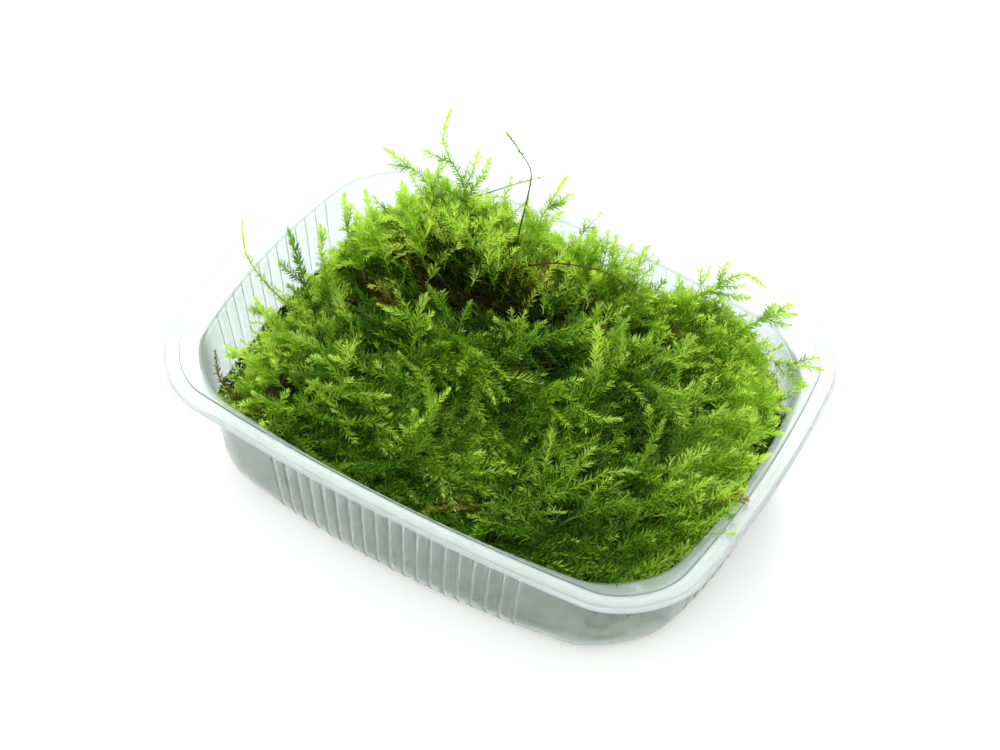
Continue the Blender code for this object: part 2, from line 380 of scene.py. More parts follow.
def push_inside(points, gap):
    """The points, with any that lie in the tub's wall or past it moved back inside it by the gap."""
    x, y, z = points.T
    share = np.clip((z - FLOOR_ROUND) / (LEDGE_HEIGHT - FLOOR_ROUND), 0, 1)[:, None]
    section = np.array(FLOOR) * (1 - share) + np.array(LEDGE) * share
    length, width, corner, bow = section.T
    below = np.clip(WALL + FLOOR_ROUND - z, 0, FLOOR_ROUND)
    inset = gap + FLOOR_ROUND - np.sqrt(np.maximum(FLOOR_ROUND**2 - below**2, 0))
    inset += CORNER_GAP * np.clip(np.abs(x / (length / 2) * y / (width / 2)), 0, 1) ** 3
    half_x = length / 2 - bow * np.clip(y / (width / 2), -1, 1) ** 2 - inset
    half_y = width / 2 - bow * np.clip(x / (length / 2), -1, 1) ** 2 - inset
    corner = np.maximum(corner - inset, 0.001)
    over_x = np.abs(x) - (half_x - corner)
    over_y = np.abs(y) - (half_y - corner)
    reach = np.hypot(np.maximum(over_x, 0), np.maximum(over_y, 0))
    scale = np.where(reach > corner, corner / np.maximum(reach, 1e-9), 1.0)
    new_x = np.where(over_x > 0, np.sign(x) * (half_x - corner + over_x * scale), x)
    new_y = np.where(over_y > 0, np.sign(y) * (half_y - corner + over_y * scale), y)
    held = z < RIM_TOP - RIM_DROP
    on_rim = (reach > corner) & ~held & (z < RIM_TOP + gap)
    on_rim &= (np.abs(x) < TUB_LENGTH) & (np.abs(y) < TUB_WIDTH)
    out = points.copy()
    out[:, 0] = np.where(held, new_x, x)
    out[:, 1] = np.where(held, new_y, y)
    out[:, 2] = np.maximum(np.where(on_rim, RIM_TOP + gap, z), WALL + gap)
    return out


def paths_inside(paths):
    """The stems' points, kept inside the wall by the stems' own gap."""
    return push_inside(paths.reshape(-1, 3), STEM_GAP).reshape(paths.shape)


# ---------------------------------------------------------------- materials


def node_tree(name):
    """A new node material, its tree and its output."""
    made = bpy.data.materials.new(name)
    made.use_nodes = True
    tree = made.node_tree
    tree.nodes.clear()
    output = tree.nodes.new("ShaderNodeOutputMaterial")
    return made, tree, output


def fill_sockets(tree, node, sockets):
    """The node, with each socket given a value or joined to another node's output."""
    for socket, value in sockets.items():
        if isinstance(value, bpy.types.NodeSocket):
            tree.links.new(value, node.inputs[socket])
        else:
            node.inputs[socket].default_value = value
    return node


def add_node(tree, kind, sockets):
    return fill_sockets(tree, tree.nodes.new(kind), sockets)


def ramp(tree, factor, stops):
    """A colour ramp through (place, colour) stops."""
    node = add_node(tree, "ShaderNodeValToRGB", {"Fac": factor})
    points = node.color_ramp.elements
    while len(points) < len(stops):
        points.new(0.5)
    for point, (place, colour) in zip(points, stops):
        point.position = place
        point.color = (*colour, 1.0)
    return node.outputs["Color"]


def ranged(tree, value, ends):
    """A value moved from one range to another."""
    return add_node(tree, "ShaderNodeMapRange", {"Value": value, **ends}).outputs["Result"]


def mixed_colour(tree, share, first, second, blend="MIX"):
    """Two colours, mixed by a share of the second."""
    node = tree.nodes.new("ShaderNodeMix")
    node.data_type = "RGBA"
    node.blend_type = blend
    return fill_sockets(tree, node, {0: share, 6: first, 7: second}).outputs[2]


def mixed_surface(tree, share, first, second, output):
    """The material's surface, as two shaders mixed by a share of the second."""
    sockets = {"Fac": share, 1: first.outputs["BSDF"], 2: second.outputs["BSDF"]}
    blend = add_node(tree, "ShaderNodeMixShader", sockets)
    tree.links.new(blend.outputs["Shader"], output.inputs["Surface"])


def clouded(tree, place, colour, dimming, sockets):
    """The colour, with soft clouds in it that are a little darker."""
    cloud = add_node(tree, "ShaderNodeTexNoise", {"Vector": place, **sockets})
    dim = tuple(value * dimming for value in colour)
    return ramp(tree, cloud.outputs["Fac"], ((0.3, dim), (0.7, tuple(colour))))


def bumped(tree, height, strength, distance):
    """The surface's direction, roughened by a height."""
    sockets = {"Height": height, "Strength": strength, "Distance": distance}
    return add_node(tree, "ShaderNodeBump", sockets).outputs["Normal"]


def leaf_material(name, gloss):
    """Wet moss. The leaves' map runs from dark to bright one way, for old against young growth and also
    for the painted shade deep in the heap and in its dips and the painted backlight at its back; and from
    green through yellow-green to brown the other, so one material colours every leaf and stem."""
    made, tree, output = node_tree(name)
    place = tree.nodes.new("ShaderNodeUVMap")
    place.uv_map = LEAF_MAP
    split = add_node(tree, "ShaderNodeSeparateXYZ", {"Vector": place.outputs["UV"]})
    tone = split.outputs["X"]
    warmth = split.outputs["Y"]
    green = ramp(
        tree,
        tone,
        (
            (0.0, (0.004, 0.007, 0.001)),
            (0.2, (0.014, 0.032, 0.001)),
            (0.4, (0.038, 0.102, 0.004)),
            (0.6, (0.100, 0.260, 0.011)),
            (0.8, (0.290, 0.530, 0.026)),
            (1.0, (0.660, 0.890, 0.150)),
        ),
    )
    brown = ramp(
        tree,
        tone,
        (
            (0.0, (0.006, 0.004, 0.001)),
            (0.3, (0.034, 0.019, 0.004)),
            (0.6, (0.160, 0.095, 0.016)),
            (0.8, (0.360, 0.270, 0.030)),
            (1.0, (0.700, 0.600, 0.100)),
        ),
    )
    cool = mixed_colour(tree, 0.35, green, (0.03, 0.16, 0.02, 1.0))
    coolness = ranged(tree, warmth, {"From Min": 0.2, "From Max": 0.0})
    brownness = ranged(tree, warmth, {"From Min": 0.35, "From Max": 0.9})
    greens = mixed_colour(tree, coolness, green, cool)
    colour = mixed_colour(tree, brownness, greens, brown)
    glow = mixed_colour(tree, 1.0, colour, (1.15, 1.15, 0.75, 1.0), "MULTIPLY")
    sockets = {"Base Color": colour, "Roughness": gloss, "IOR": 1.4, "Specular IOR Level": 0.45}
    leaf = add_node(tree, "ShaderNodeBsdfPrincipled", sockets)
    through = add_node(tree, "ShaderNodeBsdfTranslucent", {"Color": glow})
    mixed_surface(tree, 0.48, leaf, through, output)
    return made


def plastic_material(settings):
    """Milky polypropylene: cloudy and see-through, whiter where it is thicker, with a painted highlight on
    the rim's lip and painted shade along grooves.
    """
    made, tree, output = node_tree("milky_plastic")
    thick_light_and_shade = tree.nodes.new("ShaderNodeAttribute")
    thick_light_and_shade.attribute_name = THICK_LIGHT_AND_SHADE_LAYER
    thickness_highlight_and_shade = thick_light_and_shade.outputs["Fac"]
    place = tree.nodes.new("ShaderNodeTexCoord").outputs["Object"]
    tint = clouded(tree, place, settings.colour, 0.97, {"Scale": 60.0, "Detail": 3.0})
    # Below 0 the attribute paints shade into grooves as grey lines; above 0 it whitens thicker plastic and
    # paints the lip's highlight.
    groove_shade = ranged(tree, thickness_highlight_and_shade, {"From Max": -1.0})
    groove_shaded = mixed_colour(tree, groove_shade, tint, (0.36, 0.42, 0.44, 1.0))
    colour = mixed_colour(tree, thickness_highlight_and_shade, groove_shaded, (0.9, 0.92, 0.94, 1.0))
    grain = add_node(tree, "ShaderNodeTexNoise", {"Vector": place, "Scale": 900.0})
    shader = add_node(
        tree,
        "ShaderNodeBsdfPrincipled",
        {
            "Base Color": colour,
            "Roughness": 0.2,
            "IOR": 1.45,
            "Transmission Weight": 0.9,
            "Normal": bumped(tree, grain.outputs["Fac"], 0.05, 0.0001),
        },
    )
    cloudy = add_node(tree, "ShaderNodeBsdfTranslucent", {"Color": colour})
    milk = ranged(tree, thickness_highlight_and_shade, {"To Min": 0.07, "To Max": 0.7})
    mixed_surface(tree, milk, shader, cloudy, output)
    return made


def old_growth_and_shade_material():
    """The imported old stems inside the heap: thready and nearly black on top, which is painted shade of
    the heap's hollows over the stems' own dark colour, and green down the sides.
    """
    made, tree, output = node_tree("old_growth")
    place = tree.nodes.new("ShaderNodeTexCoord").outputs["Object"]
    sockets = {"Vector": place, "Scale": 160.0, "Distortion": 14.0, "Detail": 4.0}
    threads = add_node(tree, "ShaderNodeTexWave", sockets).outputs["Fac"]
    # Near-black top: painted shade of the hollows, over the old stems' own dark brown.
    top = ramp(
        tree,
        threads,
        ((0.0, (0.003, 0.003, 0.001)), (0.6, (0.012, 0.016, 0.003)), (1.0, (0.040, 0.026, 0.008))),
    )
    split = add_node(tree, "ShaderNodeSeparateXYZ", {"Vector": place})
    side = ranged(tree, split.outputs["Z"], {"From Min": 0.026, "From Max": 0.018})
    sockets = {
        "Base Color": mixed_colour(tree, side, top, (0.24, 0.44, 0.11, 1.0)),
        "Roughness": 0.7,
        "Normal": bumped(tree, threads, 0.9, 0.0006),
    }
    shader = add_node(tree, "ShaderNodeBsdfPrincipled", sockets)
    tree.links.new(shader.outputs["BSDF"], output.inputs["Surface"])
    return made


def floor_material(settings):
    """A matt pale table top, with a little light of its own like a light table's."""
    made, tree, output = node_tree("pale_floor")
    place = tree.nodes.new("ShaderNodeTexCoord").outputs["Object"]
    sockets = {
        "Base Color": clouded(tree, place, settings.floor_colour, 0.985, {"Scale": 4.0}),
        "Roughness": 0.9,
        "Emission Color": (1.0, 1.0, 1.0, 1.0),
        "Emission Strength": 0.22,
    }
    shader = add_node(tree, "ShaderNodeBsdfPrincipled", sockets)
    tree.links.new(shader.outputs["BSDF"], output.inputs["Surface"])
    return made


# ---------------------------------------------------------------- tub

# The attribute that whitens thicker plastic, paints the rim lip's highlight and, below 0, paints shade in
# grooves.
THICK_LIGHT_AND_SHADE_LAYER = "thick_light_and_shade"


def tub_profile(wall):
    """The tub's skin from its inner floor, over the rim, to its underside.

    Each ring is (section, inset, height, rib share, share of whiteness). The last whitens thicker
    plastic and paints the highlight on the rolled lip, and below 0 it paints shade in grooves.
    """
    rounds = 6
    inside = []
    outside = []
    for step in range(rounds + 1):
        turn = math.pi / 2 * step / rounds
        bulge = 1 - math.sin(turn)
        rise = 1 - math.cos(turn)
        outer = FLOOR_ROUND + wall
        inside.append((FLOOR, FLOOR_ROUND * bulge, wall + FLOOR_ROUND * rise, 0.0, 0.0))
        outside.append((FLOOR, outer * bulge - wall, outer * rise, min(1.0, step / 2), 0.0))
    # On the rolled lip the last number paints its highlight; the -0.8 and -1.0 rows paint shade in
    # grooves.
    band = (
        (LEDGE, 0.0004, LEDGE_HEIGHT - 0.0008, 0.0, 0.0),
        (LEDGE, 0.0001, LEDGE_HEIGHT - 0.0001, 0.0, -0.8),
        (LEDGE, -0.0004, LEDGE_HEIGHT + 0.0004, 0.0, 0.0),
        (RIM, 0.0045, RIM_TOP - 0.0007, 0.0, 0.0),
        (RIM, 0.0041, RIM_TOP - 0.0002, 0.0, 0.3),
        (RIM, 0.0039, RIM_TOP - 0.0001, 0.0, 0.0),
        (RIM, 0.0037, RIM_TOP - 0.0004, 0.0, -1.0),
        (RIM, 0.0034, RIM_TOP - 0.0001, 0.0, 0.0),
        (RIM, 0.0031, RIM_TOP, 0.0, 0.1),
        (RIM, 0.0009, RIM_TOP, 0.0, 0.1),
        (RIM, 0.0003, RIM_TOP - 0.0001, 0.0, 0.8),
        (RIM, 0.0, RIM_TOP - 0.0004, 0.0, 1.0),
        (RIM, 0.0, RIM_TOP - 0.0010, 0.0, 1.0),
        (RIM, 0.0002, RIM_TOP - 0.0013, 0.0, 1.0),
        (RIM, 0.0007, RIM_TOP - 0.0012, 0.0, 0.9),
        (RIM, 0.0009, RIM_TOP - 0.0007, 0.0, 0.4),
        (RIM, 0.0033, RIM_TOP - 0.0008, 0.0, 0.1),
        (RIM, 0.0040, RIM_TOP - 0.0012, 0.0, 0.1),
        (LEDGE, -0.0010, LEDGE_HEIGHT - 0.0002, 0.0, 0.2),
        (LEDGE, -wall, LEDGE_HEIGHT - 0.0009, 0.0, 0.2),
        (LEDGE, -wall + 0.0001, LEDGE_HEIGHT - 0.0020, 1.0, 0.0),
    )
    return (*inside, *band, *reversed(outside))


def rib_at(along, settings):
    """How much of a rib there is at a place on a side, from 0 to 1."""
    if along is None:
        return 0.0
    is_short, share = along
    section_half = LEDGE[1] / 2 if is_short else LEDGE[0] / 2
    count = settings.short_ribs if is_short else settings.long_ribs
    place = share * (section_half - LEDGE[2] - LEDGE[3]) / settings.rib_pitch
    nearest = round(place)
    if abs(nearest) > count // 2:
        return 0.0
    away = abs(place - nearest) * settings.rib_pitch / settings.rib_reach
    return max(0.0, 1 - away)


def make_tub(settings):
    """One closed skin, lofted ring by ring, with ribs pressed out of its outer wall."""
    long_steps = round((LEDGE[0] - 2 * (LEDGE[2] + LEDGE[3])) / SIDE_STEP)
    short_steps = round((LEDGE[1] - 2 * (LEDGE[2] + LEDGE[3])) / SIDE_STEP)
    shape = bmesh.new()
    layer = shape.verts.layers.float.new(THICK_LIGHT_AND_SHADE_LAYER)
    loops = []
    for section, inset, height, ribbed, thick_light_and_shade in tub_profile(settings.wall):
        flat, along = outline(section, inset, long_steps, short_steps)
        ring = []
        for (x, y), side in zip(flat, along):
            rib = rib_at(side, settings) * ribbed
            out = rib * settings.rib_depth
            if side is not None and side[0]:
                x += math.copysign(out, x)
            elif side is not None:
                y += math.copysign(out, y)
            vertex = shape.verts.new((x, y, height))
            # Ribs take the whole whitening, so they show as pale lines.
            vertex[layer] = min(1.0, 2 * rib) if rib > 0 else thick_light_and_shade
            ring.append(vertex)
        edges = [shape.edges.new((ring[i - 1], ring[i])) for i in range(len(ring))]
        if loops:
            bmesh.ops.bridge_loops(shape, edges=loops[-1] + edges)
        else:
            shape.faces.new(ring)
        loops.append(edges)
    shape.faces.new([edge.verts[0] for edge in loops[-1]])
    bmesh.ops.recalc_face_normals(shape, faces=shape.faces[:])
    mesh = bpy.data.meshes.new("tub_shell")
    shape.to_mesh(mesh)
    shape.free()
    mesh.shade_smooth()
    mesh.set_sharp_from_angle(angle=math.radians(40))
    mesh.materials.append(plastic_material(settings))
    return place_piece(mesh, "tub_shell", "milky_plastic", "tub")


# ---------------------------------------------------------------- heap

# The leaves' own map, and the name that it goes under.
LEAF_MAP = "OFBake"

# The step of the grid of heights, how far sweeping shoots arch over the heap, and the heap's small lumps.
GRID = 0.001
SWEEP_LOFT = 0.0036
LUMP_REACH = 0.0024
LUMP_RISE = 0.0011


def packed_mat():
    """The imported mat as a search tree."""
    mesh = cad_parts["moss_mat"].data
    corners = [vertex.co.copy() for vertex in mesh.vertices]
    return BVHTree.FromPolygons(corners, [tuple(face.vertices) for face in mesh.polygons])


def heap_heights(tree):
    """The mat's top on a grid over the tub, and that grid's low corner."""
    low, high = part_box("moss_mat")
    columns = int((high.x - low.x) / GRID) + 1
    rows = int((high.y - low.y) / GRID) + 1
    heights = np.full((columns, rows), np.nan)
    for i in range(columns):
        for j in range(rows):
            start = Vector((low.x + i * GRID, low.y + j * GRID, 1.0))
            hit = tree.ray_cast(start, Vector((0, 0, -1)))[0]
            if hit is not None:
                heights[i, j] = hit.z
    while np.isnan(heights).any():
        wide = np.pad(heights, 1, mode="edge")
        beside = np.stack([wide[2:, 1:-1], wide[:-2, 1:-1], wide[1:-1, 2:], wide[1:-1, :-2]])
        nearest = np.where(np.isnan(beside), -1.0, beside).max(0)
        heights = np.where(np.isnan(heights) & (nearest > 0), nearest, heights)
    return heights, (low.x, low.y)


def heap_top(heap, x, y):
    """The mat's height over each point, less the dips and with small lumps."""
    heights, (low_x, low_y) = heap
    i = np.clip((x - low_x) / GRID, 0, heights.shape[0] - 1.001)
    j = np.clip((y - low_y) / GRID, 0, heights.shape[1] - 1.001)
    a, b = i.astype(int), j.astype(int)
    s, t = i - a, j - b
    near = heights[a, b] * (1 - s) + heights[a + 1, b] * s
    far = heights[a, b + 1] * (1 - s) + heights[a + 1, b + 1] * s
    across = x / LUMP_REACH
    along = y / LUMP_REACH
    lumps = np.sin(across + 2 * np.sin(along)) * np.sin(along + x / (2 * LUMP_REACH) + 1)
    return near * (1 - t) + far * t - dip_at(x, y)[0] + LUMP_RISE * lumps


def dip_at(x, y):
    """How deep the dips are at each point, and how brown; the brownness also sets the painted shade of the
    shoots there.
    """
    depth = np.zeros(len(x))
    brown = np.zeros(len(x))
    for dip_x, dip_y, reach_x, reach_y, deep, brownness in DIPS:
        share = np.exp(-(((x / MM - dip_x) / reach_x) ** 2) - ((y / MM - dip_y) / reach_y) ** 2)
        depth += deep * MM * share
        brown = np.maximum(brown, brownness * share)
    return depth, brown


def shoots_of(paths, face, leaf, tone, warmth, radius, bare):
    """A batch of shoots: their stems' points and what their leaves are like, one row to a shoot."""
    count = len(paths)
    spread = {"leaf": leaf, "tone": tone, "warmth": warmth, "radius": radius, "bare": bare}
    rows = {name: np.full(count, value, float) for name, value in spread.items()}
    return SimpleNamespace(paths=paths, face=face, **rows)


def joined(batches):
    rows = {name: np.concatenate([vars(batch)[name] for batch in batches]) for name in vars(batches[0])}
    return SimpleNamespace(**rows)


def picked(batch, rows):
    return SimpleNamespace(**{name: values[rows] for name, values in vars(batch).items()})


# Points along the stem of a shoot in the heap, of a long shoot and of a bare stem.
STATIONS = 5
LONG_STATIONS = 14
BARE_STATIONS = 24

# The way that upright shoots turn their faces.
UPRIGHT_FACE = (0.33, -0.56, 0.76)


def arcs(root, aim, bend, length):
    """Stem points on a plain arc from each root."""
    share = np.linspace(0, 1, STATIONS)[None, :, None]
    return root[:, None] + length[:, None, None] * (share * aim[:, None] + share**2 / 2 * bend[:, None])


def facing(towards, spread, count, rng):
    """The way that each of some shoots turns its face, spread about one direction."""
    return unit(np.array(towards) + rng.normal(0, spread, (count, 3)))


def directions(heading, lift):
    flat = np.cos(lift)
    return np.stack([np.cos(heading) * flat, np.sin(heading) * flat, np.sin(lift)], 1)


def along_path(paths, rows, share):
    """Places and directions at shares of some rows' stems."""
    place = share * (paths.shape[1] - 1)
    low = np.minimum(place.astype(int), paths.shape[1] - 2)
    start = paths[rows, low]
    step = paths[rows, low + 1] - start
    return start + step * (place - low)[:, None], unit(step)


def path_lengths(paths):
    return np.linalg.norm(np.diff(paths, axis=1), axis=2).sum(1)


def hold_in(points, rng):
    """The points, with any that lie past the heap's edge drawn back to it."""
    edge = mm(HEAP_EDGE)
    turns = np.unwrap(-np.arctan2(edge[:, 1], edge[:, 0]))
    reach = np.hypot(edge[:, 0], edge[:, 1])
    turn = -np.arctan2(points[:, 1], points[:, 0])
    turn = (turn - turns[0]) % math.tau + turns[0]
    limit = np.interp(turn, [*turns, turns[0] + math.tau], [*reach, reach[0]])
    limit *= rng.normal(1.0, 0.02, len(points))
    far = np.hypot(points[:, 0], points[:, 1])
    scale = np.where(far > limit, (limit + 0.12 * (far - limit)) / np.maximum(far, 1e-6), 1.0)
    out = points.copy()
    out[:, :2] *= scale[:, None]
    return out


def branches(batch, per_shoot, rng):
    """Side shoots that leave the stems to left and right and turn forwards."""
    rows = np.repeat(np.arange(len(batch.paths)), per_shoot)
    share = rng.uniform(0.15, 0.8, len(rows))
    root, ahead = along_path(batch.paths, rows, share)
    side = unit(np.cross(batch.face[rows], ahead)) * rng.choice([-1.0, 1.0], len(rows))[:, None]
    angle = rng.uniform(0.6, 1.0, len(rows))[:, None]
    aim = unit(ahead * np.cos(angle) + side * np.sin(angle) + rng.normal(0, 0.15, (len(rows), 3)))
    length = rng.uniform(0.22, 0.45, len(rows)) * path_lengths(batch.paths)[rows] * (1.15 - 0.6 * share)
    bend = (ahead - aim) * 0.5 - np.array([0, 0, 0.2])
    return shoots_of(
        arcs(root, aim, bend, length),
        batch.face[rows],
        batch.leaf[rows] * 0.88,
        batch.tone[rows] + rng.normal(0.03, 0.04, len(rows)),
        batch.warmth[rows],
        batch.radius[rows] * 0.7,
        0.0,
    )


# Stretches of the heap's edge where young and tall shoots rise past it, each from its first point
# up to the one that it stops before.
YOUNG_EDGE = (0, 19)
TALL_EDGE = (6, 12)

# Length of a shoot in the heap in mm: the middle, the spread and the limits.
SHOOT_LENGTH = 17
LENGTH_SPREAD = 4.0
LENGTH_LIMITS = (9, 27)

# The heap's three layers, from the old shoots below to the young ones on top. Depths are in mm under
# the heap's top, and lofts are shares of a patch's own loft. Tone falls with depth, partly for the
# older growth and partly as painted shade inside the heap.
LAYER_PARTS = ("shoots", "side_shoots", "depths", "lofts", "tone", "old", "leaf", "dip_gaps")
LAYERS = (
    (1500, 0, (3.0, 8.0), (-0.6, 0.1), 0.32, 0.16, 0.95, 0.0),
    (1050, 1, (1.0, 4.0), (0.0, 0.55), 0.88, 0.04, 1.0, 0.5),
    (640, 2, (1.0, 3.0), (0.6, 1.6), 1.42, 0.02, 1.1, 0.85),
)


def heap_shoots(heap, layer, rng):
    """One layer of shoots over the heap, each combed the way that its patch lies."""
    count = layer.shoots
    low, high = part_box("moss_mat")
    x = rng.uniform(low.x, high.x, count * 3)
    y = rng.uniform(low.y, high.y, count * 3)
    inside = push_inside(np.stack([x, y, np.full(len(x), LEDGE_HEIGHT - 0.002)], 1), 0.001)
    held = hold_in(np.stack([x, y, np.zeros(len(x))], 1), rng)
    past = np.hypot(held[:, 0] - x, held[:, 1] - y) > 1e-6
    brown = dip_at(x, y)[1]
    kept = np.hypot(inside[:, 0] - x, inside[:, 1] - y) < 1e-6
    kept &= (~past | (rng.random(len(x)) < 0.06)) & (rng.random(len(x)) > layer.dip_gaps * brown)
    x, y = x[kept][:count], y[kept][:count]
    count = len(x)
    patches = np.array(PATCHES, float)
    away = np.hypot(x[:, None] / MM - patches[:, 0], y[:, None] / MM - patches[:, 1]) / patches[:, 2]
    pull = np.exp(-(away**2)) + 1e-6
    pull = np.cumsum(pull / pull.sum(1, keepdims=True), axis=1)
    patch = patches[(rng.random(count)[:, None] > pull).sum(1).clip(0, len(patches) - 1)]
    depth = rng.uniform(*layer.depths, count) * MM
    length = rng.normal(SHOOT_LENGTH, LENGTH_SPREAD, count).clip(*LENGTH_LIMITS) * MM
    heading = np.radians(patch[:, 3]) + rng.normal(0, 0.5, count)
    rise = np.arcsin(np.clip(0.75 * depth / length, 0, 0.7))
    lift = np.radians(patch[:, 4]) * rng.uniform(0.1, 1.0, count) + rise
    aim = directions(heading, lift)
    sideways = np.stack([-aim[:, 1], aim[:, 0], np.zeros(count)], 1)
    bend = sideways * rng.normal(0, 0.6, count)[:, None]
    bend[:, 2] -= rng.uniform(0.2, 0.9, count) * np.sin(lift) + 0.15
    root = np.stack([x, y, heap_top(heap, x, y) - depth], 1)
    root -= aim * (length * 0.35)[:, None] * np.array([1, 1, 0])
    paths = arcs(root, aim, bend, length)
    flat = hold_in(paths.reshape(-1, 3), rng)
    loft = np.repeat(patch[:, 5] * rng.uniform(*layer.lofts, count), STATIONS) * MM
    ceiling = heap_top(heap, flat[:, 0], flat[:, 1]) + loft
    flat[:, 2] = np.where(flat[:, 2] > ceiling, ceiling + 0.2 * (flat[:, 2] - ceiling), flat[:, 2])
    paths = paths_inside(flat.reshape(paths.shape))
    brown = dip_at(x, y)[1]
    # Tone from the patch and the layer, lowered in the dips as painted shade over the old stems' real
    # brown.
    tone = patch[:, 6] * layer.tone * (1 - 0.55 * brown) + rng.normal(0, 0.08, count)
    old = (rng.random(count) < layer.old + 0.75 * brown) * rng.uniform(0.4, 0.9, count)
    warmth = np.maximum(patch[:, 7] * rng.uniform(0.2, 1.3, count), old)
    tone = np.where(old > 0, tone * 0.8, tone)
    face = facing((0.1, -0.2, 1.0), 0.32, count, rng)
    leaf = layer.leaf * rng.uniform(0.85, 1.15, count)
    return shoots_of(paths, face, leaf, tone, warmth, 1.0, 0.08)


def edge_shoots(heap, count, stretch, lengths, lifts, rng):
    """Young shoots that rise past a stretch of the heap's edge."""
    edge = mm(HEAP_EDGE[slice(*stretch)])
    place = rng.uniform(0, len(edge) - 1.001, count)
    low = place.astype(int)
    spot = edge[low] + (edge[low + 1] - edge[low]) * (place - low)[:, None]
    spot *= rng.uniform(0.82, 0.98, count)[:, None]
    outward = np.arctan2(spot[:, 1], spot[:, 0])
    aim = directions(outward + rng.normal(0, 0.6, count), rng.uniform(*lifts, count))
    bend = rng.normal(0, 0.4, (count, 3)) - np.array([0, 0, 0.25])
    root = np.column_stack([spot, heap_top(heap, spot[:, 0], spot[:, 1]) - 0.001])
    paths = arcs(root - aim * 0.003, aim, bend, rng.uniform(*lengths, count) * MM)
    face = facing(UPRIGHT_FACE, 0.25, count, rng)
    tone = rng.normal(0.95, 0.06, count)
    return shoots_of(paths_inside(paths), face, 1.1, tone, rng.uniform(0.1, 0.4, count), 1.0, 0.05)


# How high the shoots along the wall reach on its full and thin sides, and where the floor's are sought.
FULL_SIDE_TOP = 0.026
THIN_SIDE_TOP = 0.012
FLOOR_START = 0.015


def wall_shoots(tree, heap, count, rng):
    """Shoots that lie pressed along the wall and over the floor."""
    low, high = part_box("moss_mat")
    root = []
    for _ in range(count):
        if rng.random() < 0.72:
            turn = rng.uniform(0, math.tau)
            target = Vector((math.cos(turn) * high.x, math.sin(turn) * high.y, 0.0))
            is_full_side = target.y < -0.01 or target.x > 0.05
            start = Vector((0, 0, rng.uniform(0.003, FULL_SIDE_TOP if is_full_side else THIN_SIDE_TOP)))
        else:
            target = Vector((0, 0, -1))
            x = rng.uniform(low.x, high.x) * 0.9
            y = rng.uniform(low.y, high.y) * 0.9
            start = Vector((x, y, FLOOR_START))
        hit = tree.ray_cast(start, target)[0]
        if hit is not None:
            root.append(hit * 0.985)
    root = np.array(root)
    count = len(root)
    around = np.arctan2(root[:, 1] / TUB_WIDTH, root[:, 0] / TUB_LENGTH) + math.pi / 2
    heading = around + rng.choice([0.0, math.pi], count) + rng.normal(0, 0.5, count)
    aim = directions(heading, rng.uniform(-0.5, 0.9, count))
    length = rng.uniform(9, 20, count) * MM
    bend = rng.normal(0, 0.5, (count, 3))
    paths = arcs(root, aim, bend, length)
    flat = paths.reshape(-1, 3)
    thin_side = (flat[:, 1] > -0.01) & (flat[:, 0] < 0.05) | (flat[:, 0] < -0.05)
    ceiling = np.where(thin_side, THIN_SIDE_TOP, heap_top(heap, flat[:, 0], flat[:, 1]))
    flat[:, 2] = np.minimum(flat[:, 2], np.minimum(ceiling, LEDGE_HEIGHT - 0.001))
    paths = paths_inside(flat.reshape(paths.shape))
    face = facing(root * np.array([1, 1, 0]), 0.01, count, rng)
    tone = rng.normal(0.52, 0.08, count)
    return shoots_of(paths, face, 1.0, tone, rng.uniform(0, 0.4, count), 1.0, 0.05)


# ---------------------------------------------------------------- leaves and stems


def leaf_shape():
    """Corners and triangles of one leaf a unit long and wide, folded along its midrib."""
    shape = bmesh.new()
    bmesh.ops.create_circle(shape, cap_ends=True, segments=4, radius=0.5)
    bmesh.ops.translate(shape, verts=shape.verts[:], vec=(0.5, 0.0, 0.0))
    ends = [vertex for vertex in shape.verts if abs(vertex.co.y) < 0.1]
    sides = [vertex for vertex in shape.verts if abs(vertex.co.y) > 0.1]
    bmesh.ops.connect_verts(shape, verts=ends)
    bmesh.ops.translate(shape, verts=sides, vec=(-0.12, 0.0, 0.14))
    bmesh.ops.recalc_face_normals(shape, faces=shape.faces[:])
    corners = np.array([vertex.co for vertex in shape.verts])
    faces = np.array([[vertex.index for vertex in face.verts] for face in shape.faces])
    shape.free()
    return corners, faces


